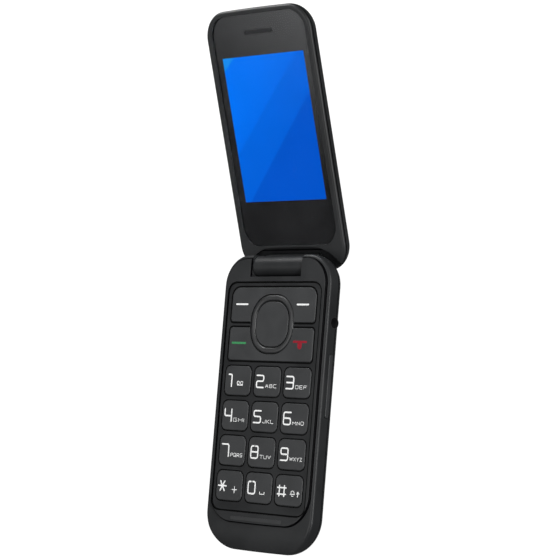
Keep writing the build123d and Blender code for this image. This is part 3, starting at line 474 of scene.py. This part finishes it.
letters = {"2": "ABC", "3": "DEF", "4": "GHI", "5": "JKL", "6": "MNO", "7": "PQRS", "8": "TUV", "9": "WXYZ"}
legends = {"key_star": star_sign + plus_sign, "key_hash": hash_sign + silent_sign + shift_sign}
for digit, lines in digit_strokes.items():
    legends[f"key_{digit}"] = strokes_in(lines, digit_box, digit_stroke, digit_bend)
legends["key_0"] += space_sign
legends["key_1"] += messages_sign
for digit, text in letters.items():
    legends[f"key_{digit}"] += word(text, word_low, long_word_high if len(text) > 3 else word_high)
for name, strokes in legends.items():
    low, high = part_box(name)
    middle = ((low[0] + high[0]) / 2, (low[1] + high[1]) / 2, high[2])
    printed("legend_" + name.removeprefix("key_"), strokes, middle, white_ink, name)

# Marks on the two rocker plates: white bars for the soft keys, a green bar to call, a red sign to hang up.
# The same pad-printed ink, straight bars with rounded ends.
green_ink, tree, shader = surface("green_pad_ink", IOR=1.48, Specular_IOR_Level=0.2)
mottled(tree, shader, colors=("#2e7446", "#367c4e"), roughness=(0.45, 0.6), patch=0.8 * mm)
red_ink, tree, shader = surface("red_pad_ink", IOR=1.48, Specular_IOR_Level=0.2)
mottled(tree, shader, colors=("#780b1a", "#811224"), roughness=(0.45, 0.6), patch=0.8 * mm)

plate_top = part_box("soft_key_plate")[1][2]
soft_bars = free_strokes([[(-16.8, 32.33), (-11.7, 32.33)], [(10.9, 32.33), (15.8, 32.33)]], widths=0.56)
call_bar = free_strokes([[(-17.3, 19.3), (-11.4, 19.3)]], widths=0.72)
hang_up = free_strokes([[(10.6, 20.1), (16.1, 20.1)], [(13.3, 19.2), (13.3, 18.6)]], widths=(0.74, 1.9))
printed("soft_key_bars", soft_bars, (0, 0, plate_top), white_ink, "soft_key_plate")
printed("call_bar", call_bar, (0, 0, plate_top), green_ink, "call_key_plate")
printed("hang_up_sign", hang_up, (0, 0, plate_top), red_ink, "call_key_plate")

# Painted shade round the openings of the keypad panel: black lines along its rim, round each number key, and
# round the two rocker plates, laid on the panel so that each gap reads as a wide dark shadow line. A key is
# measured at its foot below the panel, and the lines round the rocker plates stop on both sides of the ring.
rim_line = 0.42
key_line = 0.26
opening_margin = 0.15
key_foot = 0.45
rim_corner = 3.4
key_corner = 2.2
soft_plate_corners = (1.4, 3.5, 3.5, 1.4)
call_plate_corners = (1.4, 1.4, 1.4, 1.4)
ring_side = 10.1
bend_share = 1.15


def round_frame(low, high, grow):
    """Closed path round a rectangle grown by a margin: from the middle of its top side over the top left,
    bottom left, bottom right and top right corners, and back."""
    x_low, y_low = np.array(low[:2]) / mm - grow
    x_high, y_high = np.array(high[:2]) / mm + grow
    middle = (x_low + x_high) / 2
    return [(middle, y_high), (x_low, y_high), (x_low, y_low), (x_high, y_low), (x_high, y_high),
            (middle, y_high)]


# Near black and dull: the painted shade of the gap lines.
gap_shade_paint, tree, shader = surface("painted_gap_shade_black", IOR=1.5, Specular_IOR_Level=0.03)
mottled(tree, shader, colors=("#020202", "#050505"), roughness=(0.55, 0.65), patch=4.0 * mm)

panel_low, panel_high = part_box("keypad_panel")
edge_paths = [(round_frame(panel_low, panel_high, -rim_line / 2), rim_line, rim_corner)]
for name in number_names:
    grow = opening_margin + key_line / 2 - key_foot
    edge_paths.append((round_frame(*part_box(name), grow), key_line, key_corner))
for name, order, corners in (("soft_key_plate", (2, 1, 4, 3), soft_plate_corners),
                             ("call_key_plate", (1, 2, 3, 4), call_plate_corners)):
    around = round_frame(*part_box(name), opening_margin + rim_line / 2)
    way = [around[i] for i in order]
    near_ring = way[0][1]
    edge_paths.append(([(-ring_side, near_ring), *way, (ring_side, near_ring)], rim_line, np.array(corners)))
edges = [ink_stroke(path, width, corner * bend_share, -ink_sink / mm, ink_height / mm)
         for path, width, corner in edge_paths]
printed("panel_gap_shade", edges, (0, 0, panel_high[2]), gap_shade_paint, "base")

# Foam seal between the end of the battery cover and the hinge end of the base.
# Black closed-cell foam, die cut a little smaller than the cover's end and squeezed between the two, so that
# no light passes through the seam.
seal_shrink = (0.985, 0.92)
seal_grip = 0.3 * mm
end_depth = 0.01 * mm

foam, tree, shader = surface("closed_cell_foam", IOR=1.5, Specular_IOR_Level=0.1)
mottled(tree, shader, colors=("#08080a", "#101012"), roughness=(0.8, 0.9), patch=1.5 * mm)
grained(tree, shader, grain=0.25 * mm, depth=0.02 * mm)

cover = nodes["battery_cover"].data
points = np.empty(len(cover.vertices) * 3)
cover.vertices.foreach_get("co", points)
points = points.reshape(-1, 3)
lip = points[points[:, 1] > points[:, 1].max() - end_depth]
lip_top = lip[:, 2].max()
lip[:, 0] *= seal_shrink[0]
lip[:, 2] = lip_top + (lip[:, 2] - lip_top) * seal_shrink[1]
data = bpy.data.meshes.new("cover_seal")
data.from_pydata(np.vstack([lip - (0, seal_grip, 0), lip + (0, seal_grip, 0)]).tolist(), [], [])
shell = bmesh.new()
shell.from_mesh(data)
hull = bmesh.ops.convex_hull(shell, input=shell.verts)
loose = {part for part in hull["geom_interior"] + hull["geom_unused"] if isinstance(part, bmesh.types.BMVert)}
bmesh.ops.delete(shell, geom=list(loose), context="VERTS")
fitted("cover_seal", data, shell, foam, "base")

# Display panel behind the window.
# Glass cell of a liquid-crystal display, lit from behind. It shows a plain blue wallpaper that grows darker
# towards the lower right, with three slanting bands, each given by its direction, its start and its colour.
screen_middle = 45.7 * mm
screen_half = (18.36 * mm, 24.48 * mm)
display_depth = -6.28 * mm
wallpaper_pale = "#0076fb"
wallpaper_deep = "#0057d1"
wallpaper_slope = (-0.45, 0.6, 0)
wallpaper_reach = 0.8
bands = (((0.59, -0.81, 0), -0.345, "#0065e1"), ((0.62, -0.79, 0), 0.222, "#0051ca"),
         ((-0.53, 0.85, 0), 1.236, "#1e9bf0"))
band_edge = 0.02
band_strength = 0.7

lit_panel, tree, shader = surface("lit_display_glass", Base_Color=linear("#020203"), Roughness=0.3,
                                  Specular_IOR_Level=0.0, Emission_Strength=1.0)
spot = lid_mapping(tree, screen_middle, display_depth, (*screen_half, 1.0))
slope = add(tree, "ShaderNodeVectorMath", {"operation": "DOT_PRODUCT", 1: wallpaper_slope},
            {0: spot.outputs["Vector"]})
fade = add(tree, "ShaderNodeMapRange",
           {"From Min": -wallpaper_reach, "From Max": wallpaper_reach, "interpolation_type": "SMOOTHSTEP"},
           {"Value": slope.outputs["Value"]})
picture = add(tree, "ShaderNodeMix",
              {"data_type": "RGBA", 6: linear(wallpaper_deep), 7: linear(wallpaper_pale)},
              {0: fade.outputs["Result"]}).outputs[2]
for toward, start, color in bands:
    reach = add(tree, "ShaderNodeVectorMath", {"operation": "DOT_PRODUCT", 1: toward},
                {0: spot.outputs["Vector"]})
    beyond = add(tree, "ShaderNodeMapRange",
                 {"From Min": start, "From Max": start + band_edge, "To Max": band_strength},
                 {"Value": reach.outputs["Value"]})
    picture = add(tree, "ShaderNodeMix", {"data_type": "RGBA", 7: linear(color)},
                  {0: beyond.outputs["Result"], 6: picture}).outputs[2]
tree.links.new(picture, shader.inputs["Emission Color"])
dress(lit_panel, "display_panel")

# Backlight of the display.
# White polyester frame round an acrylic light guide, with a faint dot print.
light_guide, tree, shader = surface("white_light_guide", IOR=1.5)
mottled(tree, shader, colors=("#d9dde0", "#e6e9ea"), roughness=(0.35, 0.45), patch=2.0 * mm)
dress(light_guide, "display_backlight")

# Window over the display, and the black ink printed on the back of it.
# Acrylic sheet, laser cut and coated against reflections, so its index is low and the ink carries the gloss.
# The ink leaves the picture clear, and a slot for the earpiece.
ink_depth = (-5.37 * mm, -5.35 * mm)
window_middle = 45.025 * mm
window_half = (21.15 * mm, 38.925 * mm)
window_corner = 6.95 * mm
screen_corner = 0.25 * mm
slot_middle = 78.0 * mm
slot_half = (6.1 * mm, 0.7 * mm)
slot_corner = 0.65 * mm
weld = 0.0001 * mm


def round_loop(middle, half, radius, steps):
    """Rounded rectangle: a quarter circle of steps points about each of the four corner middles."""
    turn = np.linspace(0, np.pi / 2, steps)[None, :] + np.arange(4)[:, None] * np.pi / 2
    signs = np.array([[1, 1], [-1, 1], [-1, -1], [1, -1]])
    corner = signs * (np.array(half) - radius)
    x = corner[:, :1] + radius * np.cos(turn)
    y = middle + corner[:, 1:] + radius * np.sin(turn)
    return np.stack([x.ravel(), y.ravel()], 1)


def ink_sheet(name, loops, low, high, material):
    """Flat sheet on the lid with holes: the first loop is its edge, the others are cut out of it."""
    outline = bpy.data.curves.new(name, "CURVE")
    outline.dimensions = "2D"
    outline.fill_mode = "BOTH"
    outline.extrude = (high - low) / 2
    for loop in loops:
        spline = outline.splines.new("POLY")
        spline.points.add(len(loop) - 1)
        spline.points.foreach_set("co", np.pad(loop, ((0, 0), (0, 2)), constant_values=(0, 0)).ravel())
        spline.use_cyclic_u = True
    drawn = bpy.data.objects.new(name + "_outline", outline)
    data = bpy.data.meshes.new_from_object(drawn)
    bpy.data.objects.remove(drawn)
    points = np.empty(len(data.vertices) * 3)
    data.vertices.foreach_get("co", points)
    x, along, out = points.reshape(-1, 3).T
    data.vertices.foreach_set("co", in_lid(x, along, out + (low + high) / 2).ravel())
    shell = bmesh.new()
    shell.from_mesh(data)
    bmesh.ops.remove_doubles(shell, verts=shell.verts, dist=weld)
    fitted(name, data, shell, material, "lid")


window_ink, tree, shader = surface("black_window_ink", IOR=1.5, Specular_IOR_Level=0.66)
mottled(tree, shader, colors=("#0b0b0c", "#101011"), roughness=(0.08, 0.12), patch=12.0 * mm)
window_loops = [round_loop(window_middle, window_half, window_corner, steps=12),
                round_loop(screen_middle, screen_half, screen_corner, steps=4),
                round_loop(slot_middle, slot_half, slot_corner, steps=8)]
ink_sheet("window_print", window_loops, *ink_depth, window_ink)

coated_acrylic, tree, shader = surface("hard_coated_acrylic", IOR=1.1, Transmission_Weight=1.0)
mottled(tree, shader, colors=("#f2f4f6", "#f6f8fa"), roughness=(0.03, 0.06), patch=15 * mm)
dress(coated_acrylic, "display_window")
nodes["display_window"].visible_shadow = False

# Mesh over the earpiece, seen through the slot.
# Woven steel cloth, blackened. It is drawn in squares of 0.3 mm, coarser than real threads, so that it shows.
mesh_pitch = 0.3 * mm

blackened_cloth, tree, shader = surface("blackened_steel_cloth", Metallic=0.6, Roughness=0.45)
spot = lid_mapping(tree, slot_middle, ink_depth[0], (mesh_pitch, mesh_pitch, mesh_pitch))
threads = add(tree, "ShaderNodeTexChecker",
              {"Scale": 1.0, "Color1": linear("#050506"), "Color2": linear("#2b2c2e")},
              {"Vector": spot.outputs["Vector"]})
tree.links.new(threads.outputs["Color"], shader.inputs["Base Color"])
dress(blackened_cloth, "earpiece_mesh")

# Camera lens cover on the outside of the lid.
# Tinted acrylic disc: a black ring printed on its back round the dark, faintly blue lens.
lens_middle = 10.0 * mm
lens_depth = -10.48 * mm
lens_radius = 2.8
ring_starts = (0.3, 0.62)
lens_colors = ("#0a0f1c", "#040506", "#17181a")

lens_cover, tree, shader = surface("tinted_lens_cover", Roughness=0.05, IOR=1.49, Coat_Weight=0.5)
spot = lid_mapping(tree, lens_middle, lens_depth, (mm, mm, 1.0))
across = add(tree, "ShaderNodeVectorMath", {"operation": "LENGTH"}, {0: spot.outputs["Vector"]})
share = add(tree, "ShaderNodeMapRange", {"From Max": lens_radius}, {"Value": across.outputs["Value"]})
rings = add(tree, "ShaderNodeValToRGB", {})
rings.color_ramp.interpolation = "CONSTANT"
rings.color_ramp.elements[1].position = ring_starts[0]
rings.color_ramp.elements.new(ring_starts[1])
for ring, color in zip(rings.color_ramp.elements, lens_colors):
    ring.color = linear(color)
tree.links.new(share.outputs["Result"], rings.inputs["Fac"])
tree.links.new(rings.outputs["Color"], shader.inputs["Base Color"])
dress(lens_cover, "camera_lens")

# Floor: a white acrylic sheet lit from below, so that it has no shadows. It is turned to meet the heel of the
# lid and the bottom end of the base, because the phone is modelled level. Glossy and diffuse rays don't see
# it, because its light would whiten the dark walls above it.
floor_tilt = radians(2.5575)
floor_height = -1.93 * mm
floor_half = 12.0
floor_points = 3

white_sheet, tree, shader = surface("backlit_white_acrylic", Emission_Color=(1.0, 1.0, 1.0, 1.0),
                                    Emission_Strength=1.0)
mottled(tree, shader, colors=("#444444", "#484848"), roughness=(0.85, 0.95), patch=300 * mm)
reach = np.linspace(-floor_half, floor_half, floor_points)
across, up = np.meshgrid(reach, reach)
level = np.stack([across.ravel(), up.ravel() * np.cos(floor_tilt) + floor_height * np.sin(floor_tilt),
                  floor_height * np.cos(floor_tilt) - up.ravel() * np.sin(floor_tilt)], 1)
corners = np.arange(floor_points ** 2).reshape(floor_points, floor_points)
squares = np.stack([corners[:-1, :-1], corners[:-1, 1:], corners[1:, 1:], corners[1:, :-1]], -1)
data = bpy.data.meshes.new("floor")
data.from_pydata(level.tolist(), [], squares.reshape(-1, 4).tolist())
data.materials.append(white_sheet)
floor = bpy.data.objects.new("floor", data)
floor.visible_glossy = False
floor.visible_diffuse = False
bpy.context.scene.collection.objects.link(floor)

# Studio: a dim white surround with a soft bright patch high on the left, which the window mirrors as a fading
# light, a soft box overhead, a small lamp beyond the end of the lid for the barrel and the top edge, and a
# narrow strip along the phone for its edges. The camera doesn't see the lamps themselves.
surround_strength = 0.12
patch_strength = 1.8
patch_way = (-0.622, -0.232, 0.748)
patch_inner = radians(2.9)
patch_outer = radians(8.9)
lamps = (("soft_box", (-0.2, -0.1, 1.1), (0.8, 0.8), 7.0),
         ("rim_lamp", (-0.10, 0.228, 0.10), (0.1, 0.1), 0.4),
         ("side_strip", (1.0, 0.13, 0.45), (0.12, 1.2), 18.0))
lamp_aim = Vector((0, 0.035, 0.012))


def placed(holder, right, up, back, place):
    """Turns an object so that its own X, Y and Z run right, up and back, and moves it to a place."""
    turned = Matrix.Identity(4)
    for i, column in enumerate((right, up, back, place)):
        turned.col[i][:3] = column
    holder.matrix_world = turned


scene = bpy.context.scene
scene.view_settings.view_transform = "Standard"
scene.view_settings.look = "None"
surround = bpy.data.worlds.new("dim_surround")
surround.use_nodes = True
tree = surround.node_tree
way = add(tree, "ShaderNodeTexCoord", {})
nearness = add(tree, "ShaderNodeVectorMath", {"operation": "DOT_PRODUCT", 1: patch_way},
               {0: way.outputs["Generated"]})
glow = add(tree, "ShaderNodeMapRange",
           {"From Min": np.cos(patch_outer), "From Max": np.cos(patch_inner), "To Min": surround_strength,
            "To Max": surround_strength + patch_strength, "interpolation_type": "SMOOTHSTEP"},
           {"Value": nearness.outputs["Value"]})
tree.nodes["Background"].inputs["Color"].default_value = (1.0, 1.0, 1.0, 1.0)
tree.links.new(glow.outputs["Result"], tree.nodes["Background"].inputs["Strength"])
scene.world = surround
for name, place, size, power in lamps:
    lamp = bpy.data.lights.new(name, "AREA")
    lamp.shape = "RECTANGLE"
    lamp.size, lamp.size_y = size
    lamp.energy = power
    holder = bpy.data.objects.new(name, lamp)
    scene.collection.objects.link(holder)
    away = (Vector(place) - lamp_aim).normalized()
    along = (Vector((0, 1, 0)) - away * away.y).normalized()
    placed(holder, along.cross(away), along, away, Vector(place))
    holder.visible_camera = False

# Camera: high to the right of the phone, turned so that the phone stands upright in the picture.
# Place, turn and lens were fitted to the outlines of base, lid, screen and keys in the photograph.
camera_place = (470.01 * mm, -21.60 * mm, 503.46 * mm)
camera_right = (0.7287, 0.0799, -0.6801)
camera_up = (0.0040, 0.9927, 0.1209)
camera_ahead = (-0.6848, 0.0908, -0.7231)
sensor_width = 36.0
focal_length = 133.03
near_clip = 0.01
far_clip = 20.0

lens = bpy.data.cameras.new("camera")
lens.sensor_width = sensor_width
lens.lens = focal_length
lens.clip_start = near_clip
lens.clip_end = far_clip
camera = bpy.data.objects.new("camera", lens)
scene.collection.objects.link(camera)
placed(camera, Vector(camera_right), Vector(camera_up), -Vector(camera_ahead), Vector(camera_place))
scene.camera = camera
